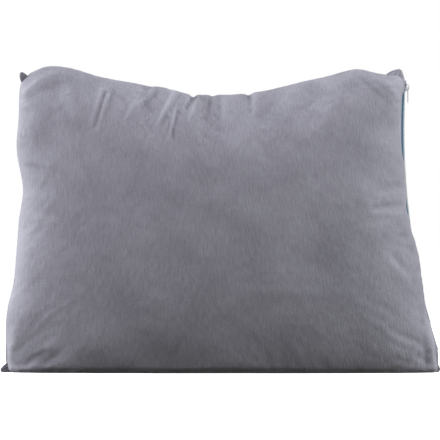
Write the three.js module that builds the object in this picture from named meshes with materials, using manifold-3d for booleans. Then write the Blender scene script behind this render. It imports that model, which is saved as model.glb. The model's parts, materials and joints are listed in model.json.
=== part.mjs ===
// Camp pillow: a soft cover with a side zip, over a sewn inner bag of shredded foam.
// The pillow stands on its long edge, so the filling has slumped: the base is pressed
// flat and wide, and the top edge sags between the two upper corners.
// Millimetres. +X runs along the width, +Y from the front to the back, +Z up.
// The origin is the middle of the rectangle that the base stands in.

import * as THREE from 'three';
import { mergeVertices } from 'three/addons/utils/BufferGeometryUtils.js';
import Module from 'manifold-3d';

const wasm = await Module();
wasm.setup();

// Cushion
const width = 584;
const height = 408;
const depth = 166;
const baseDepth = 112; // front to back of the flat the pillow rests on
const sideFullness = 0.72; // below 1 the left and right sides are blunter than an ellipse
const leftInsets = [1.3, 12, 24, 29, 22, 27]; // from the base corner to the top corner
const topDrops = [14, 1, 14, 31, 38, 34, 19, 6, 13]; // from the left corner to the right
const surfaceColumns = 20;
const surfaceRows = 16;

// Layers, each measured inwards from the outside of the cover
const coverThickness = 1.5;
const linerInset = 5.5;
const linerThickness = 0.8;
const foamClearance = 4;
const foamRimHalf = 0.4;
const seamGap = 0.3;

// Zip, let into the right side seam
const zipTopInset = 45; // in from the cushion's overall width
const zipTopBelow = 20; // down from the cushion's overall height
const zipBottomInset = 2;
const zipBottomZ = 30;
const zipBow = 17; // how far the middle of the side is pulled in from a straight line
const slotHalf = 6; // centre of the chain to the edge of each panel
const slotReach = 6; // how quickly the slot's spread dies away from the side
const fit = 0.3; // clearance between neighbouring pieces
const chainSplitHalf = 0.6; // half the gap that the slider's web runs in
const tapeThickness = 0.6;
const tapeOuter = -0.8; // tape's outer face, outwards from the panel edges
const coilWidth = 1.9;
const coilHeight = 1.2;
const stopLength = 3;
const zipSegments = 24;

// Slider and pull
const sliderLength = 11;
const sliderHalfWidth = 3.9;
const plateThickness = 1.2;
const flangeThickness = 0.7;
const bridgeLength = 7.6;
const bridgeHalfWidth = 1.2;
const bridgeWall = 1;
const pullLength = 20;
const pullThickness = 1.2;
const pullBar = 1.3;
const pullArm = 1;
const pullRound = 2;

const press = pressedShare();
const zipArc = makeZipArc();
const materials = makeMaterials();

// The share of the pillow's free height that its weight has pressed flat.
function pressedShare() {
  const angle = Math.asin(baseDepth / depth);
  const cut = (1 - Math.cos(angle)) / 2;
  return cut / (1 - cut);
}

// The side seam that carries the zip is an arc, bowed inwards, in the plane y = 0.
function makeZipArc() {
  const top = new THREE.Vector2(width / 2 - zipTopInset, height - zipTopBelow);
  const bottom = new THREE.Vector2(width / 2 - zipBottomInset, zipBottomZ);
  const halfChord = top.distanceTo(bottom) / 2;
  const radius = (halfChord ** 2 + zipBow ** 2) / (2 * zipBow);
  const along = bottom.clone().sub(top).normalize();
  const outward = new THREE.Vector2(-along.y, along.x);
  const centre = top.clone().add(bottom).multiplyScalar(0.5);
  centre.addScaledVector(outward, radius - zipBow);
  return { centre, radius, topZ: top.y, bottomZ: bottom.y };
}

function makeMaterials() {
  const finish = (color, roughness, metalness = 0) =>
    new THREE.MeshStandardMaterial({ color, roughness, metalness });
  return {
    cover: finish('#85848f', 0.95),
    liner: finish('#e4e2dc', 0.9),
    foam: finish('#e8d9a8', 1),
    tape: finish('#35606f', 0.85),
    coil: finish('#22323c', 0.5),
    metal: finish('#c4c7ca', 0.35, 1),
  };
}

// A smooth value part of the way, from 0 to 1, along a list of evenly spaced values.
function alongList(values, share) {
  const last = values.length - 1;
  const curve = new THREE.SplineCurve(values.map((v, i) => new THREE.Vector2(i / last, v)));
  return curve.getPoint(share).y;
}

function zipX(z) {
  const level = THREE.MathUtils.clamp(z, zipArc.bottomZ, zipArc.topZ) - zipArc.centre.y;
  return zipArc.centre.x - Math.sqrt(zipArc.radius ** 2 - level ** 2);
}

// A point of the cushion's surface, shrunk inwards by inset.
// across runs from -1 at the left seam to 1 at the right seam, and round runs
// from 0 at the seam under the base to 1 at the seam along the top.
function cushionPoint(across, round, inset, side, slot, rimHalf) {
  const turn = round * Math.PI;
  const u = Math.sin(across * Math.PI / 2);
  const rise = Math.max(0, (1 + press) * (1 - Math.cos(turn)) / 2 - press);
  const top = height - alongList(topDrops, (1 + u) / 2);
  const z = inset + rise * (top - 2 * inset);
  const left = -width / 2 + alongList(leftInsets, rise) + inset;
  const right = zipX(z) - inset;
  const x = left + (right - left) * (1 + u) / 2;
  const plan = Math.abs(Math.cos(across * Math.PI / 2)) ** sideFullness;
  const belly = (depth / 2 - inset) * plan * Math.sin(turn);
  const onSeamEnd = rise === 0 || round === 1;
  const spread = onSeamEnd ? 0 : slot * ((1 + u) / 2) ** slotReach;
  return new THREE.Vector3(x, side * (rimHalf + belly + spread), z);
}

// Joins coincident corners and drops the triangles that close up where surfaces taper out.
function weld(geometry) {
  geometry.deleteAttribute('normal');
  geometry.deleteAttribute('uv');
  const merged = mergeVertices(geometry, 1e-3);
  const source = merged.index.array;
  const kept = [];
  for (let i = 0; i < source.length; i += 3) {
    const [a, b, c] = [source[i], source[i + 1], source[i + 2]];
    if (a !== b && b !== c && c !== a) kept.push(a, b, c);
  }
  merged.setIndex(kept);
  return merged;
}

function flipFaces(geometry) {
  const index = geometry.index.array.slice();
  for (let i = 0; i < index.length; i += 3) {
    [index[i + 1], index[i + 2]] = [index[i + 2], index[i + 1]];
  }
  geometry.setIndex(Array.from(index));
  return geometry;
}

// Moves every point of a flat block onto the cushion: place(across, round, isOuter).
function wrapBlock(place) {
  const block = new THREE.BoxGeometry(2, 1, 1, surfaceColumns, surfaceRows, 1);
  const points = block.attributes.position;
  for (let i = 0; i < points.count; i += 1) {
    const spot = place(points.getX(i), points.getY(i) + 0.5, points.getZ(i) > 0);
    points.setXYZ(i, spot.x, spot.y, spot.z);
  }
  return block;
}

// Half of a hollow layer of the cushion: the front half has side -1, the back half 1.
function halfLayer(side, inset, thickness, slot) {
  const block = wrapBlock((across, round, isOuter) => {
    const depthIn = isOuter ? inset : inset + thickness;
    return cushionPoint(across, round, depthIn, side, slot, seamGap / 2);
  });
  const shell = weld(block);
  return side > 0 ? flipFaces(shell) : shell;
}

function foamBlock() {
  const inset = linerInset + linerThickness + foamClearance;
  return weld(wrapBlock((across, round, isOuter) =>
    cushionPoint(across, round, inset, isOuter ? -1 : 1, 0, foamRimHalf)));
}

// A strip that follows the zip's arc. out runs outwards from the panel edges.
function arcStrip(outLow, outHigh, zLow, zHigh, yLow, yHigh) {
  const { centre, radius } = zipArc;
  const angleAt = (z) => Math.PI - Math.asin((z - centre.y) / radius);
  const start = angleAt(zHigh);
  const end = angleAt(zLow);
  const outline = new THREE.Shape();
  outline.absarc(centre.x, centre.y, radius - outLow, start, end, false);
  outline.absarc(centre.x, centre.y, radius - outHigh, end, start, true);
  const segments = Math.max(1, Math.ceil(zipSegments * (zHigh - zLow) / height));
  const strip = new THREE.ExtrudeGeometry(outline, {
    depth: yHigh - yLow,
    bevelEnabled: false,
    curveSegments: segments,
  });
  strip.rotateX(Math.PI / 2);
  strip.translate(0, yHigh, 0);
  return weld(strip);
}

function toManifold(geometry) {
  const solid = weld(geometry.clone());
  return new wasm.Manifold(new wasm.Mesh({
    numProp: 3,
    vertProperties: new Float32Array(solid.attributes.position.array),
    triVerts: new Uint32Array(solid.index.array),
  }));
}

function fromManifold(manifold) {
  const mesh = manifold.getMesh();
  const geometry = new THREE.BufferGeometry();
  geometry.setAttribute('position', new THREE.BufferAttribute(mesh.vertProperties, 3));
  geometry.setIndex(Array.from(mesh.triVerts));
  return geometry;
}

function polygon(corners) {
  return new THREE.Shape(corners.map(([a, b]) => new THREE.Vector2(a, b)));
}

// Extrudes a shape drawn in x and z, centred across y.
function acrossY(shape, thickness) {
  const solid = new THREE.ExtrudeGeometry(shape, { depth: thickness, bevelEnabled: false });
  solid.rotateX(Math.PI / 2);
  solid.translate(0, thickness / 2, 0);
  return solid;
}

const coilLow = tapeOuter + fit;
const coilHigh = coilLow + coilHeight;
const chainHalf = chainSplitHalf + coilWidth;
const stopZ = zipArc.topZ - stopLength;
const coilTopZ = stopZ - fit;
const coilBottomZ = zipArc.bottomZ + stopLength + fit;
const plateLow = coilHigh + fit;
const plateHigh = plateLow + plateThickness;
const pinReach = Math.hypot(pullBar, pullThickness) / 2 + fit;
const pivotOut = plateHigh + pinReach;
const bridgeHigh = pivotOut + pinReach + bridgeWall;

// The slider's two plates, the web between them and the side flanges. x is outwards.
function sliderBody() {
  const webHalf = chainSplitHalf - fit;
  const flangeLow = tapeOuter + fit;
  const flangeIn = sliderHalfWidth - flangeThickness;
  const innerHigh = tapeOuter - tapeThickness - fit;
  const innerLow = innerHigh - plateThickness;
  const half = [
    [innerLow, sliderHalfWidth], [innerHigh, sliderHalfWidth], [innerHigh, webHalf],
    [plateLow, webHalf], [plateLow, flangeIn], [flangeLow, flangeIn],
    [flangeLow, sliderHalfWidth], [plateHigh, sliderHalfWidth],
  ];
  const mirrored = half.map(([out, y]) => [out, -y]).reverse();
  const outline = polygon([...half, ...mirrored]);
  const body = new THREE.ExtrudeGeometry(outline, { depth: sliderLength, bevelEnabled: false });
  body.translate(0, 0, -sliderLength / 2);
  return body;
}

// The arch on the outer plate that holds the pull's bar.
function sliderBridge() {
  const reach = bridgeLength / 2;
  const mouth = reach - bridgeWall;
  const foot = plateHigh - fit;
  const outline = polygon([
    [foot, reach], [foot, mouth], [bridgeHigh - bridgeWall, mouth],
    [bridgeHigh - bridgeWall, -mouth], [foot, -mouth], [foot, -reach],
    [bridgeHigh, -reach + bridgeWall], [bridgeHigh, reach - bridgeWall],
  ]);
  return acrossY(outline, 2 * bridgeHalfWidth);
}

function sliderSolid() {
  return fromManifold(toManifold(sliderBody()).add(toManifold(sliderBridge())));
}

// The pull's bar lies on the origin, and its tab hangs down from it.
function pullSolid() {
  const eyeHalf = bridgeHalfWidth + fit;
  const tabHalf = eyeHalf + pullArm;
  const eyeDrop = Math.hypot(bridgeLength / 2, bridgeHigh - pivotOut) + fit;
  const low = -pullLength;
  const tab = new THREE.Shape();
  tab.moveTo(-tabHalf, pullBar / 2);
  tab.lineTo(-tabHalf, low + pullRound);
  tab.absarc(-tabHalf + pullRound, low + pullRound, pullRound, Math.PI, 1.5 * Math.PI, false);
  tab.absarc(tabHalf - pullRound, low + pullRound, pullRound, 1.5 * Math.PI, 2 * Math.PI, false);
  tab.lineTo(tabHalf, pullBar / 2);
  tab.holes.push(polygon([
    [-eyeHalf, -pullBar / 2], [eyeHalf, -pullBar / 2], [eyeHalf, -eyeDrop], [-eyeHalf, -eyeDrop],
  ]));
  const solid = new THREE.ExtrudeGeometry(tab, {
    depth: pullThickness,
    bevelEnabled: false,
    curveSegments: 5,
  });
  solid.translate(0, 0, -pullThickness / 2);
  solid.rotateX(Math.PI / 2);
  solid.rotateZ(Math.PI / 2);
  return weld(solid);
}

const pillow = new THREE.Group();

function addPiece(parent, name, geometry, material) {
  const mesh = new THREE.Mesh(geometry, material);
  mesh.name = name;
  parent.add(mesh);
}

for (const [label, side] of [['front', -1], ['back', 1]]) {
  const between = (near, far) => (side < 0 ? [-far, -near] : [near, far]);
  const tapeSpan = between(chainSplitHalf, slotHalf - fit);
  const coilSpan = between(chainSplitHalf, chainHalf);
  const tape = arcStrip(tapeOuter - tapeThickness, tapeOuter, zipArc.bottomZ, zipArc.topZ, ...tapeSpan);
  const coil = arcStrip(coilLow, coilHigh, coilBottomZ, coilTopZ, ...coilSpan);
  const stop = arcStrip(coilLow, coilHigh, stopZ, zipArc.topZ, ...coilSpan);
  const cover = halfLayer(side, 0, coverThickness, slotHalf);
  const liner = halfLayer(side, linerInset, linerThickness, 0);
  addPiece(pillow, `${label}_panel`, cover, materials.cover);
  addPiece(pillow, `liner_${label}`, liner, materials.liner);
  addPiece(pillow, `zip_tape_${label}`, tape, materials.tape);
  addPiece(pillow, `zip_coil_${label}`, coil, materials.coil);
  addPiece(pillow, `zip_top_stop_${label}`, stop, materials.metal);
}

const bottomStopZ = zipArc.bottomZ + stopLength;
const bottomStop = arcStrip(coilLow, coilHigh, zipArc.bottomZ, bottomStopZ, -chainHalf, chainHalf);
addPiece(pillow, 'zip_bottom_stop', bottomStop, materials.metal);
addPiece(pillow, 'foam_fill', foamBlock(), materials.foam);

// The slider is parked just under the top stops, square to the arc there.
const slider = new THREE.Group();
const parkedZ = stopZ - fit - sliderLength / 2;
const lean = Math.asin((parkedZ - zipArc.centre.y) / zipArc.radius);
slider.position.set(zipArc.centre.x - zipArc.radius * Math.cos(lean), 0, parkedZ);
slider.rotation.y = lean;
addPiece(slider, 'zip_slider', sliderSolid(), materials.metal);

// The pull hangs plumb from the bridge, so it is turned back by the slider's lean.
const pull = new THREE.Group();
pull.position.set(pivotOut, 0, 0);
pull.rotation.y = -lean;
addPiece(pull, 'zip_pull', pullSolid(), materials.metal);
slider.add(pull);
pillow.add(slider);

export default pillow;
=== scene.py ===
"""Camp pillow: cloth cover with a side zip, inner bag and shredded foam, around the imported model.

Metres, +X along the width towards the zip, +Y from front to back, +Z up.
"""

import json
import math

import bmesh
import bpy
import numpy as np
from bpy.props import FloatProperty, FloatVectorProperty, IntProperty, PointerProperty
from mathutils import Matrix, Vector


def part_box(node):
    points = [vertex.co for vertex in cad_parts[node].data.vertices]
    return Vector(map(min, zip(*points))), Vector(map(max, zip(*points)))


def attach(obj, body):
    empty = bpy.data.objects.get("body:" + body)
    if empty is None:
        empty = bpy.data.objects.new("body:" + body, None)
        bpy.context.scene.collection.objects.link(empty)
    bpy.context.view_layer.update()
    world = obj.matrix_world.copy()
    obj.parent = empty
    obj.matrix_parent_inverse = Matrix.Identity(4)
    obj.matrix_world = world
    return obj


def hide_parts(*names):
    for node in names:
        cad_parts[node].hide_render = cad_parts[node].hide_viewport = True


bl_info = {
    "name": "Camp Pillow",
    "version": (1, 0, 0),
    "blender": (4, 5, 0),
    "location": "View3D > Sidebar > Camp Pillow",
    "description": "Builds a slumped camp pillow with a zipped cloth cover",
    "category": "Object",
}

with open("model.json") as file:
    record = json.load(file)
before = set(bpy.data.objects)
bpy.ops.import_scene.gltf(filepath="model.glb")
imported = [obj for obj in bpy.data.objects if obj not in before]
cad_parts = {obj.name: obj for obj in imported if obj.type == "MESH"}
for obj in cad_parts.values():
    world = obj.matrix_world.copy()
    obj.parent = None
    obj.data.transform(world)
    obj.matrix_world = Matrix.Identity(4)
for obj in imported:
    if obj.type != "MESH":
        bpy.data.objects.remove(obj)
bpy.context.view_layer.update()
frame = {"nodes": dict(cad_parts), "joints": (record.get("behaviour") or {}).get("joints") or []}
MM = 0.001

# Cushion, as the CAD model has it
HALF_WIDTH = 292 * MM
HEIGHT = 408 * MM
DEPTH = 166 * MM
BASE_DEPTH = 112 * MM
SIDE_FULLNESS = 0.72
LEFT_INSETS = [0.5, 8.3, 9.5, 17, 23, 28, 30, 27, 21.5, 25, 27]
TOP_DROPS = [14, 1, 14, 31, 38, 34, 19, 6, 13]
SLOT_HALF = 6 * MM
SLOT_REACH = 6
BASE_CUT = (1 - math.cos(math.asin(BASE_DEPTH / DEPTH))) / 2
PRESS = BASE_CUT / (1 - BASE_CUT)
FLOOR_CLEAR = 0.2 * MM

# Zip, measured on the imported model
ZIP_JOINT = next(j for j in frame["joints"] if j["name"] == "slider_travel")
PULL_JOINT = next(j for j in frame["joints"] if j["name"] == "pull_swing")
ARC_CENTRE = Vector(ZIP_JOINT["pos_m"])
TAPE_OUTER = -0.8 * MM
TAPE_LOW, TAPE_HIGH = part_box("zip_tape_front")
COIL_LOW, COIL_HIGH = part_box("zip_coil_front")
SLIDER_LOW, SLIDER_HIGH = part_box("zip_slider")
ARC_RADIUS = min(
    (Vector((v.co.x, 0, v.co.z)) - ARC_CENTRE).length
    for v in frame["nodes"]["zip_tape_front"].data.vertices
) + TAPE_OUTER
CHAIN_SPLIT = 0.6 * MM
COIL_WIDTH = 1.9 * MM
COIL_OUT = (-0.5 * MM, 0.7 * MM)


# ---------------------------------------------------------------- settings


def linear(hex_colour):
    """An sRGB hex colour as linear red, green and blue."""
    parts = [int(hex_colour[i:i + 2], 16) / 255 for i in (1, 3, 5)]
    return tuple(c / 12.92 if c <= 0.04045 else ((c + 0.055) / 1.055) ** 2.4 for c in parts)


def colour_property(name, description, hex_colour):
    """A colour that the user can change, given as sRGB hex."""
    return FloatVectorProperty(
        name=name, description=description, default=linear(hex_colour),
        subtype="COLOR", min=0, max=1,
    )


def length_property(name, description, default):
    """A length in metres that the user can change."""
    return FloatProperty(name=name, description=description, default=default, unit="LENGTH")


class CoverSettings(bpy.types.PropertyGroup):
    """Cut, cloth and colour of the cover."""

    cut_width: length_property("Cut width", "Width of one panel as it is cut", 0.592)
    cut_height: length_property("Cut height", "Height of one panel as it is cut", 0.448)
    cell: length_property("Cloth cell", "Side of one square of the cloth's mesh", 0.0049)
    cloth: length_property("Cloth thickness", "Thickness of the brushed cloth", 0.0011)
    spare: FloatProperty(
        name="Spare cloth", description="Most extra length the cloth has along the seams",
        default=0.12, subtype="FACTOR",
    )
    steps: IntProperty(
        name="Cloth steps", description="Frames that the cloth settles for", default=24,
    )
    shade: colour_property("Cloth shade", "Darker yarn of the cover", "#7b7b81")
    light: colour_property("Cloth light", "Lighter yarn of the cover", "#b2b2b9")


class ZipSettings(bpy.types.PropertyGroup):
    """Zip tape, teeth, slider and thread."""

    pitch: length_property("Tooth pitch", "Distance between teeth on one side", 0.0013)
    stitch: length_property("Stitch length", "Distance between stitches", 0.0032)
    tape: colour_property("Tape", "Blue-green zip tape", "#2f6378")
    coil: colour_property("Coil", "Dark nylon teeth", "#22404e")
    metal: colour_property("Metal", "Plated zinc of the slider", "#94979c")
    thread: colour_property("Thread", "Sewing thread", "#777681")


class FillingSettings(bpy.types.PropertyGroup):
    """Inner bag and foam."""

    bag_inset: length_property("Bag inset", "How far the bag lies inside the cover", 0.0075)
    foam_inset: length_property("Foam inset", "How far the foam lies inside the cover", 0.017)
    crumb: length_property("Crumb size", "Width of one piece of shredded foam", 0.016)
    bag: colour_property("Bag", "Undyed cotton of the inner bag", "#e9e6de")
    foam: colour_property("Foam", "Polyurethane foam", "#ead9a6")


# ---------------------------------------------------------------- cushion form


def along(values, share):
    """Smooth values part of the way, from 0 to 1, along a list of evenly spaced ones."""
    v = np.array(values, float) * MM
    place = np.clip(share, 0, 1) * (len(v) - 1)
    i = np.minimum(place.astype(int), len(v) - 2)
    w = place - i
    before, a, b = v[np.maximum(i - 1, 0)], v[i], v[i + 1]
    after = v[np.minimum(i + 2, len(v) - 1)]
    p, q = (b - before) / 2, (after - a) / 2
    return (2 * a - 2 * b + p + q) * w**3 + (3 * b - 3 * a - 2 * p - q) * w**2 + p * w + a


def bell(distance, reach):
    """A share that is 1 at no distance and fades smoothly to about a third at reach."""
    return np.exp(-((distance / reach) ** 2))


def zip_x(z):
    """Where the zip's side seam is at a height."""
    level = np.clip(z, TAPE_LOW.z, TAPE_HIGH.z) - ARC_CENTRE.z
    return ARC_CENTRE.x - np.sqrt(ARC_RADIUS**2 - level**2)


def front_form(across, round_):
    """The front of the cushion: across from -1 to 1, round_ from 0 under the base to 1 on top."""
    turn = round_ * np.pi
    u = np.sin(across * np.pi / 2)
    rise = np.maximum(0, (1 + PRESS) * (1 - np.cos(turn)) / 2 - PRESS)
    z = rise * (HEIGHT - along(TOP_DROPS, (1 + u) / 2))
    left = along(LEFT_INSETS, rise) - HALF_WIDTH
    x = left + (zip_x(z) - left) * (1 + u) / 2
    belly = DEPTH / 2 * np.abs(np.cos(across * np.pi / 2)) ** SIDE_FULLNESS * np.sin(turn)
    on_end = (rise <= 0) | (round_ >= 1)
    spread = np.where(on_end, 0, SLOT_HALF) * ((1 + u) / 2) ** SLOT_REACH
    return np.stack([x, -(belly + spread), z], -1)


def even_share(places, points, axis, shares):
    """Moves places so that points are evenly spaced along one axis of the grid."""
    steps = np.linalg.norm(np.diff(points, axis=axis), axis=2)
    if axis == 0:
        steps, places = steps.T, places.T
    travelled = np.concatenate([np.zeros((len(steps), 1)), np.cumsum(steps, 1)], 1)
    travelled /= np.maximum(travelled[:, -1:], 1e-9)
    moved = np.array([np.interp(shares, t, p) for t, p in zip(travelled, places)])
    return moved.T if axis == 0 else moved


def form_grid(u, v, passes=12):
    """Points of the front form, spaced along the cloth by shares u across and v round."""
    across, round_ = np.meshgrid(2 * u - 1, v)
    for _ in range(passes):
        across = even_share(across, front_form(across, round_), 1, u)
        round_ = even_share(round_, front_form(across, round_), 0, v)
    return front_form(across, round_)


def graded(count, centre, reach, extra):
    """Shares from 0 to 1 that lie closer together round one place."""
    share = np.linspace(0, 1, 2001)
    density = 1 + extra * bell(share - centre, reach)
    total = np.concatenate([[0], np.cumsum((density[1:] + density[:-1]) / 2)])
    return np.interp(np.linspace(0, 1, count + 1), total / total[-1], share)


def grid_ids(rows, columns, first=0):
    """Point numbers of a grid, row by row."""
    return np.arange(rows * columns).reshape(rows, columns) + first


def quads(ids, flip):
    """Four-sided faces of a grid of point numbers."""
    corners = [ids[:-1, :-1], ids[:-1, 1:], ids[1:, 1:], ids[1:, :-1]]
    faces = np.stack(corners, -1).reshape(-1, 4)
    return faces[:, ::-1] if flip else faces


def link_object(name, data):
    """An object that holds the data, linked to the scene."""
    piece = bpy.data.objects.new(name, data)
    bpy.context.scene.collection.objects.link(piece)
    return piece


def mesh_object(name, points, faces, smooth=True):
    """A mesh object from arrays."""
    mesh = bpy.data.meshes.new(name)
    faces = faces.tolist() if isinstance(faces, np.ndarray) else faces
    mesh.from_pydata(np.asarray(points, float).tolist(), [], faces)
    mesh.polygons.foreach_set("use_smooth", [smooth] * len(mesh.polygons))
    mesh.update()
    return link_object(name, mesh)


def grid_object(name, grid, flip):
    """A sheet from a grid of points, facing out of the cushion."""
    return mesh_object(name, grid.reshape(-1, 3), quads(grid_ids(*grid.shape[:2]), flip))


def mesh_points(mesh):
    """The points of a mesh, one row each."""
    points = np.empty(len(mesh.vertices) * 3)
    mesh.vertices.foreach_get("co", points)
    return points.reshape(-1, 3)


def thicken(sheet, thickness, offset=-1):
    """Gives a sheet its thickness, inwards or, with no offset, both ways."""
    modifier = sheet.modifiers.new("Thickness", "SOLIDIFY")
    modifier.thickness = thickness
    modifier.offset = offset


def store_painted_shading(sheet, relief):
    """Stores how far each point stands on a fold, or an ear's shade, which the cloth's colour shows
    as painted light on folds and painted shade in creases.
    """
    attribute = sheet.data.attributes.new("relief", "FLOAT", "POINT")
    attribute.data.foreach_set("value", relief)


def uv_from_grid(piece, u, v):
    """Gives each corner its place on the flat cut, in metres, as its UV."""
    mesh = piece.data
    layer = mesh.uv_layers.new(name="UVMap")
    index = np.empty(len(mesh.loops), int)
    mesh.loops.foreach_get("vertex_index", index)
    layer.data.foreach_set("uv", np.stack([u.ravel()[index], v.ravel()[index]], -1).ravel())


# ---------------------------------------------------------------- cloth


class Cut:
    """Places on the flat cut of one panel, and how far each lies from the panel's edges."""

    def __init__(self, width, height, u_share, v_share):
        self.width, self.height = width, height
        self.u, self.v = np.meshgrid((u_share - 0.5) * width, v_share * height)
        self.side = width / 2 - np.abs(self.u)
        self.end = np.minimum(self.v, height - self.v)
        self.from_top = height - self.v
        self.from_zip = width / 2 - self.u


class CoverCloth(Cut):
    """The sewn cover as one mesh: two panels that share every seam but the zip's side."""

    def __init__(self, width, height, cell):
        # Smaller cells where the top edge sags and the cloth creases most
        self.u_share = graded(round(width / cell), centre=0.42, reach=0.17, extra=1.2)
        self.v_share = graded(round(height / cell), centre=1.0, reach=0.14, extra=1.0)
        super().__init__(width, height, self.u_share, self.v_share)
        self.front = grid_ids(*self.u.shape)
        sewn = np.zeros(self.u.shape, bool)
        sewn[:, 0] = sewn[0] = sewn[-1] = True
        self.apart = ~sewn
        self.back = self.front.copy()
        self.back[self.apart] = self.front.size + np.arange(self.apart.sum())

    def both(self, front, back=None):
        """Values of the front grid, then those of the back's own points."""
        back = front if back is None else back
        flat = front.reshape(self.front.size, -1)
        return np.concatenate([flat, back[self.apart].reshape(-1, flat.shape[1])])

    def faces(self):
        """Faces of both panels, pointing out of the cushion."""
        return np.concatenate([quads(self.front, False), quads(self.back, True)])


# Every length in these tables is in millimetres
# Nicks in the top seam: place along the top, half width, depth
SEAM_NICKS = [(-36, 4, 3.6), (-10, 4, 2.2), (38, 5, 3.0), (-66, 6, 1.0), (-92, 9, 1.2)]
# Creases of the front: start and end as (x, z), half width, height above the cloth, which also sets
# painted light on a ridge and painted shade in a hollow
CREASES = [
    ((-157, 380), (-169, 330), 3.2, 2.0), ((-149, 372), (-161, 322), 2.6, 1.9),
    ((-153, 376), (-165, 328), 2.4, -1.9), ((-143, 374), (-152, 334), 2.4, -1.2),
    ((-112, 362), (-126, 334), 2.6, 1.4), ((-86, 379), (-110, 356), 2.6, 2.4),
    ((-84, 370), (-104, 350), 2.6, -1.8), ((-61, 372), (-82, 328), 2.4, 3.2),
    ((-55, 368), (-74, 330), 2.2, -2.0), ((-60, 348), (-68, 308), 1.9, 2.8),
    ((-68, 342), (-72, 318), 1.9, 1.5), ((-56, 344), (-63, 312), 1.9, -1.6),
    ((-34, 371), (-45, 352), 2.4, -6.0), ((-33, 362), (-42, 334), 2.8, 3.0),
    ((-12, 368), (-15, 346), 2.4, -2.6), ((-3, 368), (0, 334), 2.8, -1.8),
    ((8, 368), (3, 330), 5.0, 1.6),
    ((38, 373), (41, 346), 2.8, -2.8), ((47, 371), (43, 336), 4.0, 1.8),
    ((-256, 373), (-214, 400), 4.0, 1.2), ((-252, 362), (-199, 389), 4.5, -1.0),
    ((202, 397), (229, 373), 3.2, 1.3), ((216, 394), (237, 362), 3.2, 1.3),
    ((189, 389), (221, 357), 4.5, -1.0), ((202, 220), (243, 224), 3.2, -1.3),
    ((200, 212), (245, 211), 4.0, 0.9), ((181, 192), (220, 198), 4.5, 0.7),
    ((208, 235), (242, 240), 4.0, 0.8), ((224, 147), (251, 118), 4.5, 0.9),
    ((231, 155), (257, 124), 4.0, -1.0), ((-255, 275), (-215, 269), 3.5, -1.2),
    ((-239, 208), (-212, 200), 4.0, 0.9), ((40, 111), (119, 108), 6.0, 0.4),
    ((284, 4), (276, 88), 3.6, 2.6), ((274, 6), (266, 84), 4.0, -2.0),
    ((289, 2), (285, 52), 2.6, -3.0), ((234, 384), (243, 330), 14, 2.0),
    ((-24, 362), (-12, 326), 15, -1.3), ((-282, 22), (-225, 12), 16, -1.6),
    ((-274, 57), (-282, 6), 4.0, 1.2),
]
# Corners of the body: (column, row), and the move that rounds each off
CORNERS = [
    ((0, -1), (5, 0, -2)), ((-1, -1), (-3, 0, -2)), ((0, 0), (5, 0, 2)), ((-1, 0), (-6, 0, 2)),
]
CORNER_REACH = 9 * MM
SEAM_GROOVE = 1.4 * MM
# Ears of flat seam that stick out there: root and tip as (x, z), half width, painted light and
# shade (darker below 0, lighter above)
EARS = [
    ((-256, 384), (-265, 399), 5, -1.0), ((227, 379), (240, 403), 14, 1.3),
    ((-272, 8), (-292, 3), 7, -1.2), ((279, 9), (292.5, 3), 7, -1.0),
]
# Last easing of the outline, evenly spaced: the top edge downwards, the left edge inwards
TOP_EASE = [0, -5.5, 1.5, 6.5, 5, 1.5, -2.5, 1, 0, 0, -0.5, -0.5, -0.5, 0, -2, 2, 0]
LEFT_EASE = [7, -2, -1, 0, -2.5, -4, 0, -3, 1, -1.5, 0]
# Random folds and lumps: how many there are on a panel, and the seed that they start from
SIDE_FOLDS, TOP_FOLDS, LUMPS = 22, 36, 340
FOLD_SEED = 5


def seam_nicks(cloth, points):
    """How far the top seam is pulled down at each of its nicks."""
    x = points[..., 0]
    drop = sum(d * MM * bell(x - p * MM, w * MM) for p, w, d in SEAM_NICKS)
    return drop * bell(cloth.from_top, 22 * MM)


def crease(x, z, start, end, width):
    """Share of a crease's height: 1 where it starts, fading along it and to its sides."""
    (x0, z0), (x1, z1) = np.array(start) * MM, np.array(end) * MM
    run = np.array([x1 - x0, z1 - z0])
    reach = np.clip(((x - x0) * run[0] + (z - z0) * run[1]) / (run @ run), 0, 1)
    off = np.hypot(x - x0 - reach * run[0], z - z0 - reach * run[1])
    return bell(off, width * MM) * (1 - 0.6 * reach)


def side_gathers(cut, z, draw):
    """Short folds that run in from the side seams, where the cloth is eased into them."""
    lift = np.zeros_like(z)
    for left in (True, False):
        inward = cut.width / 2 + (cut.u if left else -cut.u)
        for _ in range(SIDE_FOLDS):
            level, slope = draw.uniform(15, 370) * MM, draw.uniform(-0.3, 0.3)
            width, length = draw.uniform(3, 6) * MM, draw.uniform(18, 48) * MM
            height = draw.choice([-0.6, 0.9]) * draw.uniform(0.4, 1.1) * MM
            off = (z - level - slope * inward) / width
            lift += height * np.exp(-(off**2) - (inward / length) ** 2)
    return lift * np.clip(cut.side / (18 * MM), 0, 1) ** 1.5


def top_gathers(cut, x, draw):
    """Fine folds that hang from the top seam, most of them where it sags."""
    lift = np.zeros_like(x)
    for _ in range(TOP_FOLDS):
        place = draw.normal(-50, 75) * MM
        width, length = draw.uniform(2.5, 5) * MM, draw.uniform(16, 46) * MM
        height = draw.choice([-0.9, 1.0]) * draw.uniform(0.3, 0.9) * MM
        off = (x - place - draw.uniform(-0.3, 0.3) * cut.from_top) / width
        lift += height * np.exp(-(off**2) - (cut.from_top / length) ** 2)
    return lift * np.clip(cut.from_top / (16 * MM), 0, 1) ** 1.5


def foam_lumps(cut, draw):
    """Low swellings where pieces of foam press on the cloth."""
    lift = np.zeros_like(cut.u)
    for _ in range(LUMPS):
        u = draw.uniform(-cut.width / 2, cut.width / 2)
        v = draw.uniform(0, cut.height)
        size, height = draw.uniform(8, 30) * MM, draw.uniform(-0.8, 1.0) * MM
        lift += height * np.exp(-(((cut.u - u) ** 2 + (cut.v - v) ** 2) / size**2))
    return lift


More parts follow.
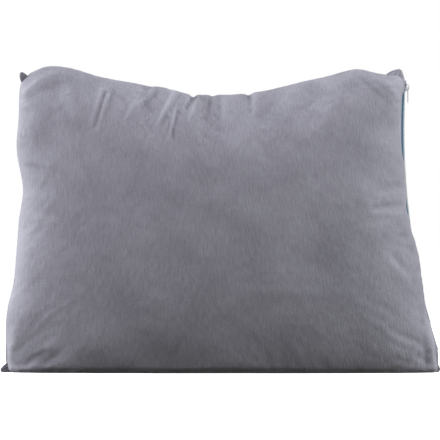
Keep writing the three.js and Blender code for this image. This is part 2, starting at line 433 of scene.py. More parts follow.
def calm_edges(cut, points):
    """Smooths the settled cloth near its top and side seams, where it is drawn taut."""
    calmed = 0.9
    share = calmed * np.maximum(bell(cut.from_top, 40 * MM), bell(cut.side, 45 * MM))
    return points + (smooth_grid(points, passes=16) - points) * share[..., None]


def crumple(cut, points, flip, draw):
    """Adds the folds that are too fine for the cloth's mesh, and returns their relief too, which
    paints light on the folds and shade in the creases.
    """
    points = points.copy()
    points[..., 2] -= seam_nicks(cut, points)
    x, z = points[..., 0], points[..., 2]
    # The back has the same placed creases, a little to one side
    shift = 21 * MM if flip else 0
    lumps = foam_lumps(cut, draw)
    folds = side_gathers(cut, z, draw) + top_gathers(cut, x, draw)
    for start, end, width, height in CREASES:
        folds += height * MM * crease(x + shift, z, start, end, width)
    normals = grid_normals(smooth_grid(points, passes=4), flip)
    # Folds fade where the cloth turns away to the seams and the base
    folds *= np.clip(np.abs(normals[..., 1]) * 1.6 - 0.1, 0, 1)
    # Lumps fade well before the seams, and nothing moves on the seams or on the floor
    edge = np.minimum(cut.side, cut.end)
    inside = np.clip(edge / (4 * MM), 0, 1)
    lumps *= np.clip(edge / (26 * MM), 0, 1)
    clear = np.clip(z / (4 * MM), 0, 1)
    moved = points + normals * ((folds + lumps) * inside * clear)[..., None]
    tallest = 2.2 * MM
    return moved, np.clip(folds * inside / tallest, -1, 1)


def hem_retreat(z, flip):
    """How far the hem along the zip is drawn back and shows the tape, at a height."""
    if flip:
        return (1.2 + 0.8 * np.sin(z / (31 * MM))) * MM
    # A long gape near the top, between two soft steps, and two short ones lower down
    low_end, high_end = 288 * MM, 371 * MM
    high = 1 / (1 + np.exp((low_end - z) / (4 * MM))) / (1 + np.exp((z - high_end) / (2 * MM)))
    middle = 5.0 * bell(z - 217 * MM, 9 * MM)
    low = 1.6 * bell(z - 92 * MM, 7 * MM)
    return (0.9 + 2.9 * high + middle + low) * MM


def ease_outline(cut, points, flip):
    """Brings the puffed cloth back to the outline, and rounds its foot and its zip side."""
    points = points.copy()
    top_left, top_length = -266 * MM, 511 * MM
    share = (points[..., 0] - top_left) / top_length
    points[..., 2] -= along(TOP_EASE, share) * bell(cut.from_top, 70 * MM)
    left = bell(cut.u + cut.width / 2, 60 * MM)
    points[..., 0] += along(LEFT_EASE, points[..., 2] / HEIGHT) * left
    # The body bulges out beside the zip, where the side seam is bowed in most
    level = bell(points[..., 2] - 147 * MM, 40 * MM)
    beside = bell(cut.from_zip - 22 * MM, 14 * MM)
    points[..., 0] += (4.0 if flip else 6.5) * MM * level * beside
    # The foot is tucked in under the body, less so towards the zip
    foot = np.clip(7 * MM - points[..., 2], 0, None) * np.clip(cut.side / (12 * MM), 0, 1)
    undercut = 0.9 - 0.5 * np.clip((points[..., 0] - 80 * MM) / (120 * MM), 0, 1)
    points[..., 1] -= np.sign(points[..., 1]) * foot * undercut
    return points


def shape_seams(cut, points, flip):
    """Sinks the sewn edges into a groove, draws back the hem and rounds the corners."""
    points = points.copy()
    # The panels are sewn together above and below the zip
    beyond = np.maximum(TAPE_LOW.z - points[..., 2], points[..., 2] - TAPE_HIGH.z)
    shut = np.clip(beyond / (6 * MM), 0, 1) * bell(cut.from_zip, 12 * MM)
    half_seam = 0.8 * MM * (1 if flip else -1)
    points[..., 1] += (half_seam - points[..., 1]) * shut
    points[-1, :, 2] -= SEAM_GROOVE
    points[1:-1, 0, 0] += SEAM_GROOVE
    retreat = bell(cut.from_zip, 16 * MM) * hem_retreat(points[..., 2], flip)
    points[1:-1, :, 0] -= retreat[1:-1]
    for (column, row), move in CORNERS:
        corner = np.hypot(cut.u - cut.u[row, column], cut.v - cut.v[row, column])
        points += bell(corner, CORNER_REACH)[..., None] * np.array(move) * MM
    return points


def spare_cloth(cloth, x, amount):
    """Where the cloth has length to spare, from 0 to 1: along the seams and the sagging top."""
    sides = 0.25 * bell(cloth.side, 35 * MM)
    top = bell(cloth.from_top, 58 * MM) * (0.15 + 0.75 * bell(x + 45 * MM, 105 * MM))
    corners = 0.15 * bell(np.hypot(cloth.side, cloth.end), 60 * MM)
    return np.clip(0.02 + sides + top * amount + corners, 0, 1)


def held_cloth(cloth, points):
    """How firmly each point is held: the seams, the zip and the base fully."""
    held = 0.05 + 0.15 * bell(cloth.side, 40 * MM)
    seam = (cloth.side <= 0) | (cloth.end <= 0)
    # The cloth doesn't settle at all when every point of a corner is held
    corner = cloth.side + cloth.end < 8 * MM
    held[seam & ~corner] = 1
    held[points[..., 2] < FLOOR_CLEAR / 2] = 1
    return held


def weight_group(piece, name, weights):
    """A vertex group with the weights rounded to hundredths."""
    group = piece.vertex_groups.new(name=name)
    level = np.round(weights, 2)
    for value in np.unique(level[level > 0]):
        group.add(np.flatnonzero(level == value).tolist(), float(value), "REPLACE")


def settle(piece, held, spare, growth, steps):
    """Lets the cloth settle under the filling's pressure and returns its points."""
    weight_group(piece, "held", held)
    weight_group(piece, "taut", 1 - spare)
    modifier = piece.modifiers.new("Cloth", "CLOTH")
    cloth = modifier.settings
    cloth.quality = 6
    cloth.mass = 0.05
    cloth.tension_stiffness = 30
    cloth.compression_stiffness = 30
    cloth.shear_stiffness = 5
    cloth.bending_stiffness = 0.05
    cloth.air_damping = 0.5
    cloth.use_pressure = True
    cloth.uniform_pressure_force = 1
    cloth.vertex_group_mass = "held"
    cloth.vertex_group_shrink = "taut"
    cloth.shrink_min = -growth
    cloth.shrink_max = 0
    cloth.effector_weights.gravity = 0
    modifier.collision_settings.use_collision = False
    modifier.point_cache.frame_end = steps
    for step in range(1, steps + 1):
        bpy.context.scene.frame_set(step)
    settled = piece.evaluated_get(bpy.context.evaluated_depsgraph_get())
    points = mesh_points(settled.data)
    piece.modifiers.remove(modifier)
    bpy.context.scene.frame_set(1)
    return points


def finer(grid, axis):
    """Puts a point halfway between all neighbours along one axis, on a smooth curve."""
    p = np.moveaxis(grid, axis, 0)
    wide = np.concatenate([2 * p[:1] - p[1:2], p, 2 * p[-1:] - p[-2:-1]])
    out = np.empty((2 * len(p) - 1, *p.shape[1:]))
    out[::2] = p
    out[1::2] = (9 * (wide[1:-2] + wide[2:-1]) - wide[:-3] - wide[3:]) / 16
    return np.moveaxis(out, 0, axis)


def make_cover_cloth(settings):
    """The cut of a panel, and the points and relief of the front and back ones."""
    cloth = CoverCloth(settings.cut_width, settings.cut_height, settings.cell)
    form = form_grid(cloth.u_share, cloth.v_share)
    points = cloth.both(form, form * [1, -1, 1])
    held = cloth.both(held_cloth(cloth, form)).ravel()
    spare = cloth.both(*(spare_cloth(cloth, form[..., 0], top) for top in (1.0, 0.7))).ravel()
    draw = np.random.default_rng(FOLD_SEED)
    unevenness = 0.15 * MM
    points = points + draw.normal(0, unevenness, points.shape) * (held < 1)[:, None]
    piece = mesh_object("settling_cover", points, cloth.faces())
    points = settle(piece, held, spare, settings.spare, settings.steps)
    bpy.data.objects.remove(piece)
    cut = Cut(cloth.width, cloth.height, finer(cloth.u_share, 0), finer(cloth.v_share, 0))
    panels = []
    for ids, flip in ((cloth.front, False), (cloth.back, True)):
        panel = calm_edges(cut, finer(finer(points[ids], 0), 1))
        panel, relief = crumple(cut, panel, flip, draw)
        panel = ease_outline(cut, panel, flip)
        panel = shape_seams(cut, panel, flip)
        lifted = 1.2 * MM * bell(cut.side, 6 * MM)
        panel[..., 2] = np.maximum(panel[..., 2], FLOOR_CLEAR + lifted)
        panels.append((panel, relief))
    return cut, panels


def grid_normals(points, flip):
    """Unit normals of a grid of points, pointing out of the cushion."""
    du = np.gradient(points, axis=1)
    dv = np.gradient(points, axis=0)
    normal = np.cross(du, dv) * (-1 if flip else 1)
    return normal / np.maximum(np.linalg.norm(normal, axis=2, keepdims=True), 1e-12)


def smooth_grid(points, passes):
    """Softens a grid's folds, with its edges kept."""
    soft = points.copy()
    for _ in range(passes):
        near = soft[:-2, 1:-1] + soft[2:, 1:-1] + soft[1:-1, :-2] + soft[1:-1, 2:]
        soft[1:-1, 1:-1] = near / 4
    return soft


# ---------------------------------------------------------------- materials
# A wave texture repeats every 0.314 / scale metres, a noise texture about every 1 / scale


def set_inputs(tree, node, values):
    """Sets or links a node's inputs, each by its name or number."""
    for key, value in values.items():
        if isinstance(value, bpy.types.NodeSocket):
            tree.links.new(value, node.inputs[key])
        else:
            node.inputs[key].default_value = value


def add(tree, kind, values=None, **settings):
    """Adds a node, sets its properties, then sets or links its inputs."""
    node = tree.nodes.new(kind)
    for key, value in settings.items():
        setattr(node, key, value)
    set_inputs(tree, node, values or {})
    return node


def new_material(name, roughness, **sockets):
    """A material with one Principled shader, whose plain values sit on its own sockets."""
    material = bpy.data.materials.new(name)
    material.use_nodes = True
    tree = material.node_tree
    shader = tree.nodes["Principled BSDF"]
    plain = {key.replace("_", " "): value for key, value in sockets.items()}
    set_inputs(tree, shader, {"Roughness": roughness, **plain})
    return material, tree, shader


def rgba(colour):
    """A colour with full opacity."""
    return (*colour, 1)


def shaded(colour, share):
    """A lighter or darker shade of a colour."""
    return tuple(min(1, c * share) for c in colour)


def dress(tree, shader, mix, low, high, height, strength, depth, **under):
    """Gives the shader a colour between two, mixed by one pattern, and relief from another."""
    tone = add(tree, "ShaderNodeMix", {"Factor": mix, "A": rgba(low), "B": rgba(high)},
               data_type="RGBA")
    bump = add(tree, "ShaderNodeBump", {
        "Height": height, "Strength": strength, "Distance": depth, **under,
    })
    set_inputs(tree, shader, {
        "Base Color": tone.outputs["Result"], "Normal": bump.outputs[0],
    })


def brushed_jersey(settings):
    """Brushed polyester jersey, knitted: matt and slightly hairy, with faint upright wales."""
    material, tree, shader = new_material(
        "brushed_polyester_jersey", 0.92, Sheen_Weight=0.25, Sheen_Roughness=0.45,
        Specular_IOR_Level=0.2,
    )
    place = add(tree, "ShaderNodeUVMap").outputs["UV"]
    # Wales are 0.8 mm apart; bundles of them show as streaks 2 mm wide and 12 mm long
    streak_map = add(tree, "ShaderNodeMapping", {"Vector": place, "Scale": (420, 80, 1)})
    streak = add(tree, "ShaderNodeTexNoise", {
        "Vector": streak_map.outputs[0], "Scale": 1, "Detail": 3, "Roughness": 0.6,
    })
    # Worn nap lies in patches about 60 mm across
    patch = add(tree, "ShaderNodeTexNoise", {"Vector": place, "Scale": 16, "Detail": 2})
    # Tufts of nap are about 1.5 mm across, drawn as coarse as they need to show
    tuft = add(tree, "ShaderNodeTexNoise", {"Vector": place, "Scale": 640, "Detail": 2})
    wale = add(tree, "ShaderNodeTexWave", {"Vector": place, "Scale": 392, "Distortion": 0.6},
               bands_direction="X")
    course = add(tree, "ShaderNodeTexWave", {"Vector": place, "Scale": 314, "Distortion": 0.8},
                 bands_direction="Y")
    # Folds get painted light and creases painted shade, from the relief attribute
    relief = add(tree, "ShaderNodeAttribute", attribute_name="relief")
    fold_light_and_shade = add(tree, "ShaderNodeMath", {
        0: relief.outputs["Fac"], 1: 0.55, 2: streak.outputs["Fac"],
    }, operation="MULTIPLY_ADD")
    fold_shading_and_patches = add(tree, "ShaderNodeMath", {0: fold_light_and_shade.outputs[0], 1: patch.outputs["Fac"]},
               operation="ADD")
    tone = add(tree, "ShaderNodeMath", {0: fold_shading_and_patches.outputs[0], 1: tuft.outputs["Fac"]},
               operation="ADD")
    ramp = add(tree, "ShaderNodeMapRange", {
        "Value": tone.outputs[0], "From Min": 0.8, "From Max": 2.2,
    })
    knit = add(tree, "ShaderNodeMath", {0: wale.outputs["Fac"], 1: course.outputs["Fac"]},
               operation="MULTIPLY")
    nap = add(tree, "ShaderNodeMath", {0: tuft.outputs["Fac"], 1: knit.outputs[0]},
              operation="ADD")
    fine = add(tree, "ShaderNodeBump", {
        "Height": nap.outputs[0], "Strength": 0.45, "Distance": 0.4 * MM,
    })
    dress(tree, shader, ramp.outputs["Result"], settings.shade, settings.light,
          streak.outputs["Fac"], 0.5, 0.8 * MM, Normal=fine.outputs[0])
    return material


def woven_tape(name, colour):
    """Polyester twill zip tape: tight, slightly shiny, with fine ribs across its length."""
    material, tree, shader = new_material(name, 0.7, Sheen_Weight=0.1)
    place = add(tree, "ShaderNodeUVMap").outputs["UV"]
    # Ribs are 0.6 mm apart
    rib = add(tree, "ShaderNodeTexWave", {"Vector": place, "Scale": 523, "Distortion": 0.4},
              bands_direction="Y")
    yarn = add(tree, "ShaderNodeTexNoise", {"Vector": place, "Scale": 700, "Detail": 2})
    dress(tree, shader, yarn.outputs["Fac"], shaded(colour, 0.75), shaded(colour, 1.25),
          rib.outputs["Fac"], 0.6, 0.2 * MM)
    return material


def object_noise_material(name, low, high, size, roughness, relief, **sockets):
    """A finish whose colour and relief vary in grains of one real size."""
    material, tree, shader = new_material(name, roughness, **sockets)
    place = add(tree, "ShaderNodeTexCoord").outputs["Object"]
    grain = add(tree, "ShaderNodeTexNoise", {"Vector": place, "Scale": 1 / size, "Detail": 3})
    dress(tree, shader, grain.outputs["Fac"], low, high, grain.outputs["Fac"], 0.5, relief)
    return material


def nylon_coil(colour):
    """Drawn nylon monofilament: smooth and glossy, a little uneven in its dye."""
    return object_noise_material(
        "nylon_monofilament", shaded(colour, 0.8), shaded(colour, 1.2), 2 * MM, 0.35,
        0.02 * MM, IOR=1.53,
    )


def plated_zinc(colour):
    """Die-cast zinc, satin nickel plated: grey, with a faint cast orange-peel skin."""
    return object_noise_material(
        "plated_zinc", shaded(colour, 0.82), shaded(colour, 1.0), 1.2 * MM, 0.42, 0.03 * MM,
        Metallic=1.0,
    )


def spun_thread(colour):
    """Spun polyester sewing thread: soft sheen, twisted yarn."""
    return object_noise_material(
        "spun_polyester_thread", shaded(colour, 0.75), shaded(colour, 1.2), 0.4 * MM, 0.75,
        0.05 * MM, Sheen_Weight=0.2,
    )


def plain_cotton(colour):
    """Plain-woven cotton of the inner bag: undyed, matt, with a fine slubbed weave."""
    material, tree, shader = new_material("plain_cotton", 0.9, Sheen_Weight=0.1)
    place = add(tree, "ShaderNodeUVMap").outputs["UV"]
    # Threads are 0.5 mm apart each way
    warp, weft = (
        add(tree, "ShaderNodeTexWave", {"Vector": place, "Scale": 628, "Distortion": 0.5},
            bands_direction=direction)
        for direction in "XY"
    )
    slub = add(tree, "ShaderNodeTexNoise", {"Vector": place, "Scale": 90, "Detail": 4})
    weave = add(tree, "ShaderNodeMath", {0: warp.outputs["Fac"], 1: weft.outputs["Fac"]},
                operation="MAXIMUM")
    dress(tree, shader, slub.outputs["Fac"], shaded(colour, 0.88), colour,
          weave.outputs[0], 0.5, 0.2 * MM)
    return material


def foam_crumb(colour):
    """Cut polyurethane foam: pale yellow, open cells about 1 mm across."""
    return object_noise_material(
        "polyurethane_foam", shaded(colour, 0.8), colour, 1.5 * MM, 0.95, 0.6 * MM,
    )


def matt_paper(name, colour, glow):
    """Seamless studio paper: matt and pale, with barely visible fibre."""
    return object_noise_material(
        name, shaded(colour, 0.99), colour, 40 * MM, 0.95, 0.02 * MM,
        Emission_Color=rgba(colour), Emission_Strength=glow,
    )


def give(piece, material, body):
    """Puts a finish on a piece and fixes it to its body."""
    piece.data.materials.clear()
    piece.data.materials.append(material)
    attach(piece, body)


# ---------------------------------------------------------------- repeats


def new_tree(name, sockets):
    """A Geometry Nodes tree with a geometry in and out and the named inputs."""
    tree = bpy.data.node_groups.new(name, "GeometryNodeTree")
    tree.interface.new_socket("Geometry", in_out="INPUT", socket_type="NodeSocketGeometry")
    for label, kind in sockets:
        tree.interface.new_socket(label, in_out="INPUT", socket_type=kind)
    tree.interface.new_socket("Geometry", in_out="OUTPUT", socket_type="NodeSocketGeometry")
    return tree, tree.nodes.new("NodeGroupInput"), tree.nodes.new("NodeGroupOutput")


def end_tree(tree, given, result, geometry):
    """Ends a tree: its instances become real and take the given material."""
    solid = add(tree, "GeometryNodeRealizeInstances", {"Geometry": geometry})
    painted = add(tree, "GeometryNodeSetMaterial", {
        "Geometry": solid.outputs[0], "Material": given.outputs["Material"],
    })
    tree.links.new(painted.outputs[0], result.inputs[0])
    return tree


def path_tree():
    """Repeats a small shape along a path, its own Z along the path."""
    tree, given, result = new_tree("repeat_along_path", [
        ("Spacing", "NodeSocketFloat"), ("Shape", "NodeSocketObject"),
        ("Material", "NodeSocketMaterial"),
    ])
    even = add(tree, "GeometryNodeResampleCurve", {
        "Curve": given.outputs["Geometry"], "Length": given.outputs["Spacing"],
    }, mode="LENGTH")
    tangent = add(tree, "GeometryNodeInputTangent")
    turn = add(tree, "FunctionNodeAlignRotationToVector", {"Vector": tangent.outputs[0]},
               axis="Z", pivot_axis="Y")
    shape = add(tree, "GeometryNodeObjectInfo", {"Object": given.outputs["Shape"]})
    placed = add(tree, "GeometryNodeInstanceOnPoints", {
        "Points": even.outputs[0], "Instance": shape.outputs["Geometry"],
        "Rotation": turn.outputs[0],
    })
    return end_tree(tree, given, result, placed.outputs[0])


FULL_TURN = 6.28


def scatter_tree():
    """Covers a core with crumbs that are turned and sized at random from a fixed seed."""
    tree, given, result = new_tree("scatter_crumbs", [
        ("Density", "NodeSocketFloat"), ("Seed", "NodeSocketInt"),
        ("Shape", "NodeSocketObject"), ("Material", "NodeSocketMaterial"),
    ])
    spots = add(tree, "GeometryNodeDistributePointsOnFaces", {
        "Mesh": given.outputs["Geometry"], "Density": given.outputs["Density"],
        "Seed": given.outputs["Seed"],
    })
    shape = add(tree, "GeometryNodeObjectInfo", {"Object": given.outputs["Shape"]})
    turn = add(tree, "FunctionNodeRandomValue", {
        0: (0, 0, 0), 1: (FULL_TURN,) * 3, "Seed": given.outputs["Seed"],
    }, data_type="FLOAT_VECTOR")
    size = add(tree, "FunctionNodeRandomValue", {
        0: (0.6, 0.6, 0.5), 1: (1.15, 1.0, 0.9), "Seed": given.outputs["Seed"],
    }, data_type="FLOAT_VECTOR")
    placed = add(tree, "GeometryNodeInstanceOnPoints", {
        "Points": spots.outputs["Points"], "Instance": shape.outputs["Geometry"],
        "Rotation": turn.outputs[0], "Scale": size.outputs[0],
    })
    joined = add(tree, "GeometryNodeJoinGeometry", {0: given.outputs["Geometry"]})
    tree.links.new(placed.outputs[0], joined.inputs[0])
    return end_tree(tree, given, result, joined.outputs[0])


def run_tree(source, tree, name, shape, material, **sizes):
    """Repeats a shape over an object by a tree, and returns the result as a plain mesh."""
    inputs = {"Shape": shape, "Material": material, **sizes}
    modifier = source.modifiers.new("Repeat", "NODES")
    modifier.node_group = tree
    for item in tree.interface.items_tree:
        if item.in_out == "INPUT" and item.name in inputs:
            modifier[item.identifier] = inputs[item.name]
    source.update_tag()
    graph = bpy.context.evaluated_depsgraph_get()
    mesh = bpy.data.meshes.new_from_object(source.evaluated_get(graph))
    mesh.name = name
    bpy.data.objects.remove(source)
    bpy.data.objects.remove(shape)
    return link_object(name, mesh)


def poly_path(points):
    """A curve object of one open run of straight steps."""
    curve = bpy.data.curves.new("path", "CURVE")
    curve.dimensions = "3D"
    run = curve.splines.new("POLY")
    run.points.add(len(points) - 1)
    for spot, point in zip(run.points, points):
        spot.co = (*point, 1)
    return link_object("path", curve)


# ---------------------------------------------------------------- zip geometry


def zip_frame(z):
    """Point on the zip's arc at a height, its outward direction and its upward direction."""
    level = z - ARC_CENTRE.z
    point = Vector((ARC_CENTRE.x - math.sqrt(ARC_RADIUS**2 - level**2), 0, z))
    out = (ARC_CENTRE - point).normalized()
    return point, out, Vector((-out.z, 0, out.x))


def zip_points(z, section):
    """Points at one height of the zip, given as (out, y) from its arc."""
    point, outward, _ = zip_frame(z)
    return [point + outward * out + Vector((0, y, 0)) for out, y in section]


def zip_path(z_low, z_high, out, y, steps=120):
    """Points along the zip from bottom to top, out from the arc and y to one side."""
    shares = np.linspace(0, 1, steps)
    return [zip_points(z_low + share * (z_high - z_low), [(out, y)])[0] for share in shares]


def swept_strip(name, section, z_low, z_high, steps):
    """A closed section of (out, y) points, which may change with height, along the zip."""
    heights = np.linspace(z_low, z_high, steps)
    rings = [section(z) for z in heights]
    points = np.array([zip_points(z, ring) for z, ring in zip(heights, rings)])
    count = points.shape[1]
    ids = grid_ids(steps, count)
    faces = quads(np.concatenate([ids, ids[:, :1]], 1), False).tolist()
    faces += [ids[0, ::-1].tolist(), ids[-1].tolist()]
    piece = mesh_object(name, points.reshape(-1, 3), faces, smooth=False)
    uv_from_grid(piece, np.array(rings)[..., 1], np.repeat(heights, count))
    outward_faces(piece)
    return piece


def outward_faces(piece):
    """Turns every face of a closed mesh outwards."""
    work = bmesh.new()
    work.from_mesh(piece.data)
    bmesh.ops.remove_doubles(work, verts=work.verts, dist=1e-7)
    bmesh.ops.recalc_face_normals(work, faces=work.faces)
    work.to_mesh(piece.data)
    work.free()


def finish_edges(piece, width):
    """Rounds a hard piece's edges and shades it smoothly."""
    bevel = piece.modifiers.new("Bevel", "BEVEL")
    bevel.width = width
    bevel.segments = 2
    bevel.limit_method = "ANGLE"
    bevel.angle_limit = math.radians(35)
    bevel.harden_normals = True
    piece.data.polygons.foreach_set("use_smooth", [True] * len(piece.data.polygons))


def prism(work, outline, low, high, turn):
    """Adds an outline raised from low to high to a bmesh, and turns it into its place."""
    rings = [[work.verts.new((a, b, level)) for a, b in outline] for level in (low, high)]
    work.faces.new(rings[0][::-1])
    work.faces.new(rings[1])
    for i in range(len(outline)):
        j = (i + 1) % len(outline)
        work.faces.new([rings[0][i], rings[0][j], rings[1][j], rings[1][i]])
    bmesh.ops.transform(work, matrix=turn, verts=rings[0] + rings[1])


def rounded_outline(half_width, low, high, radius_low, radius_high, steps=5):
    """Outline of a plate in (y, z), with round corners of one size below and one above."""
    points = []
    for side, level, radius, start in (
        (1, low + radius_low, radius_low, -90), (1, high - radius_high, radius_high, 0),
        (-1, high - radius_high, radius_high, 90), (-1, low + radius_low, radius_low, 180),
    ):
        middle = side * (half_width - radius)
        for share in np.linspace(0, 1, steps):
            angle = math.radians(start + 90 * share)
            points.append((middle + radius * math.cos(angle), level + radius * math.sin(angle)))
    return points


def bmesh_piece(name, work, matrix):
    """A mesh object from a bmesh, moved to its place."""
    bmesh.ops.transform(work, matrix=matrix, verts=work.verts)
    mesh = bpy.data.meshes.new(name)
    bmesh.ops.recalc_face_normals(work, faces=work.faces)
    work.to_mesh(mesh)
    work.free()
    return link_object(name, mesh)


def pebble(name, size, draw=None):
    """A small round shape to repeat, uneven where there is something to draw from."""
    work = bmesh.new()
    bmesh.ops.create_icosphere(work, subdivisions=1, radius=1)
    bmesh.ops.scale(work, vec=size, verts=work.verts)
    for vert in work.verts if draw else ():
        vert.co *= 0.7 + 0.5 * draw.random()
    return bmesh_piece(name, work, Matrix.Identity(4))


# An outline drawn in (y, z) and raised along x, outwards from the zip
PLATE_TURN = Matrix(((0, 0, 1, 0), (1, 0, 0, 0), (0, 1, 0, 0), (0, 0, 0, 1)))
# An outline drawn in (x, z) and raised along y, across the zip
BRIDGE_TURN = Matrix(((1, 0, 0, 0), (0, 0, 1, 0), (0, 1, 0, 0), (0, 0, 0, 1)))


# ---------------------------------------------------------------- operators


class PILLOW_OT_stage(bpy.types.Operator):
    """Pale floor, soft lights and the camera"""

    bl_idname = "pillow.stage"
    bl_label = "Stage"

    floor_reach = 30
    sensor_width = 36
    camera_distance = 7.0
    frame_width = 0.5852
    aim_height = 0.2028
    light_target = Vector((0, 0, 0.2))
    # Soft boxes round the pillow: place, size, power and tint of each
    soft_boxes = {
        "left": ((-2.2, 0.0, 0.5), 1.2, 56, "#f4f4ff"),
        "left_front": ((-2.0, -1.4, 0.8), 1.2, 8, "#fff9ec"),
        "left_back": ((-2.0, 0.8, 0.5), 1.2, 20, "#ffffff"),
        "right": ((2.2, 0.0, 0.5), 1.2, 34, "#f2f6ff"),
        "right_front": ((2.0, -1.4, 0.8), 1.2, 18, "#fffcf6"),
        "over_front": ((0.0, -1.4, 2.0), 1.6, 25, "#ecebff"),
        "over": ((0.0, 0.0, 2.2), 1.6, 18, "#fafaff"),
        "back": ((0.6, 3.0, 1.2), 1.6, 40, "#ffffff"),
    }

    def execute(self, context):
        self.make_floor()
        self.make_camera(context.scene)
        for name, (place, size, power, tint) in self.soft_boxes.items():
            self.make_light(name, place, size, power, tint)
        self.make_world(context.scene)
        return {"FINISHED"}

    def make_floor(self):
        """Seamless paper that glows a little and doesn't light the pillow from below."""
        corners = [(x * self.floor_reach, y * self.floor_reach, 0)
                   for x, y in ((-1, -1), (1, -1), (1, 1), (-1, 1))]
        floor = mesh_object("studio_floor", corners, [[0, 1, 2, 3]], smooth=False)
        floor.data.materials.append(matt_paper("studio_paper", linear("#f7f7f8"), 1.02))
        floor.visible_diffuse = False

    def make_camera(self, scene):
        """A long lens that looks level at the front of the pillow."""
        data = bpy.data.cameras.new("camera")
        data.sensor_width = self.sensor_width
        data.lens = data.sensor_width * self.camera_distance / self.frame_width
        data.clip_end = 200
        camera = link_object("camera", data)
        camera.location = (0, -self.camera_distance, self.aim_height)
        camera.rotation_euler = (math.radians(90), 0, 0)
        scene.camera = camera

    def make_light(self, name, place, size, power, tint):
        """A soft box that faces the pillow."""
        data = bpy.data.lights.new(name, "AREA")
        data.size = size
        data.energy = power
        data.color = linear(tint)
        light = link_object(name, data)
        light.location = place
        facing = self.light_target - light.location
        light.rotation_euler = facing.to_track_quat("-Z", "Y").to_euler()

    def make_world(self, scene):
        """A white room that shows behind the pillow but doesn't light it."""
        world = bpy.data.worlds.new("studio")
        world.use_nodes = True
        background = world.node_tree.nodes["Background"]
        background.inputs["Color"].default_value = rgba(linear("#ffffff"))
        world.cycles_visibility.diffuse = False
        scene.world = world
        scene.view_settings.view_transform = "Standard"


class PILLOW_OT_cover(bpy.types.Operator):
    """Front and back panels of the cover, with the hems along the zip and their stitching"""

    bl_idname = "pillow.cover"
    bl_label = "Cover"

    # Rows of the turned hem: how far in, how far towards the other panel, and how far past
    # the panel's edge on the flat cut, in millimetres
    hem_rows = ((0.9, -0.5, 1), (2.0, -0.2, 2), (4.5, 2.2, 6))
    hem_clear = 1.5 * MM
    stitch_thickness = 0.28 * MM

    def execute(self, context):
        settings = context.scene.pillow_cover
        spacing = context.scene.pillow_zip.stitch
        cut, panels = make_cover_cloth(settings)
        jersey = brushed_jersey(settings)
        thread = spun_thread(context.scene.pillow_zip.thread)
        tree = path_tree()
        for label, (points, relief), flip in zip(("front", "back"), panels, (False, True)):
            panel = self.make_panel(f"cover_{label}_panel", cut, points, flip)
            level = np.zeros((len(points), points.shape[1] + len(self.hem_rows)))
            level[:, :points.shape[1]] = relief
            store_painted_shading(panel, level.ravel())
            thicken(panel, settings.cloth)
            give(panel, jersey, "cushion")
            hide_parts(f"{label}_panel")
            size = (self.stitch_thickness, self.stitch_thickness, spacing * 0.4)
            stitches = run_tree(self.stitch_line(points, flip), tree, f"hem_stitches_{label}",
                                pebble("stitch", size), thread, Spacing=spacing)
            give(stitches, thread, "cushion")
        return {"FINISHED"}

    def make_panel(self, name, cut, points, flip):
        """A panel with its hem turned in along the zip."""
        grid, u, v = [points], [cut.u], [cut.v]
        for inward, aside, past in self.hem_rows:
            row = points[:, -1:] + np.array([-inward, aside if flip else -aside, 0]) * MM
            row[..., 2] = np.maximum(row[..., 2], self.hem_clear)
            grid.append(row)
            u.append(cut.u[:, -1:] + past * MM)
            v.append(cut.v[:, -1:])
        panel = grid_object(name, np.concatenate(grid, 1), flip)
        uv_from_grid(panel, np.concatenate(u, 1), np.concatenate(v, 1))
        panel["rows"], panel["columns"] = points.shape[:2]
        return panel

    def stitch_line(self, points, flip):
        """A path along the hem, just proud of the cloth, as far as the zip goes."""
        normals = grid_normals(points, flip)
        rows = (points[:, -1, 2] > TAPE_LOW.z) & (points[:, -1, 2] < TAPE_HIGH.z)
        proud = 0.1
        return poly_path(points[rows, -2] + normals[rows, -2] * proud * MM)


class PILLOW_OT_ears(bpy.types.Operator):
    """Small flat ears where the seams cross at the cover's corners"""

    bl_idname = "pillow.ears"
    bl_label = "Corner ears"

    steps = 13
    # Each ear has this many pleats, and rounds over by the bow towards the front
    pleats = 3
    pleat_height = 1.2
    bow = 1.5 * MM
    floor_clear = 1.4 * MM

    def execute(self, context):
        points, faces, places, painted_light_and_shade = [], [], [], []
        for root, tip, half_width, shade in EARS:
            ids = grid_ids(self.steps, self.steps, len(points))
            leaf, flat = self.leaf(np.array(root) * MM, np.array(tip) * MM, half_width * MM)
            points.extend(leaf)
            places.extend(flat)
            faces.append(quads(ids, False))
            # Each ear gets its painted shade, plus stripes of painted light and shade that follow
            # its pleats
            turns = np.linspace(-self.pleats, self.pleats, self.steps) * math.pi
            painted_light_and_shade += (shade + np.tile(self.pleat_height * np.cos(turns), self.steps)).tolist()
        ears = mesh_object("cover_corner_ears", points, np.concatenate(faces))
        uv_from_grid(ears, *np.array(places).T)
        store_painted_shading(ears, painted_light_and_shade)
        thicken(ears, 2 * context.scene.pillow_cover.cloth, offset=0)
        smooth = ears.modifiers.new("Smooth", "SUBSURF")
        smooth.levels = smooth.render_levels = 2
        give(ears, bpy.data.materials["brushed_polyester_jersey"], "cushion")
        return {"FINISHED"}

    def leaf(self, root, tip, half_width):
        """Points of one ear, broad at its root and pleated, and their places on the flat."""
        run = tip - root
        length = np.hypot(*run)
        side = np.array([-run[1], run[0]]) / length
        points, places = [], []
        for t in np.linspace(0, 1, self.steps):
            width = half_width * (1 - t**3) + 1.0 * MM
            for across in np.linspace(-1, 1, self.steps):
                x, z = root + run * t + side * across * width
                pleat = self.pleat_height * MM * math.cos(across * self.pleats * math.pi)
                y = pleat * (1 - 0.8 * t) - self.bow * math.sin(t * math.pi)
                points.append((x, y, max(z, self.floor_clear)))
                places.append((across * width, t * length))
        return points, places


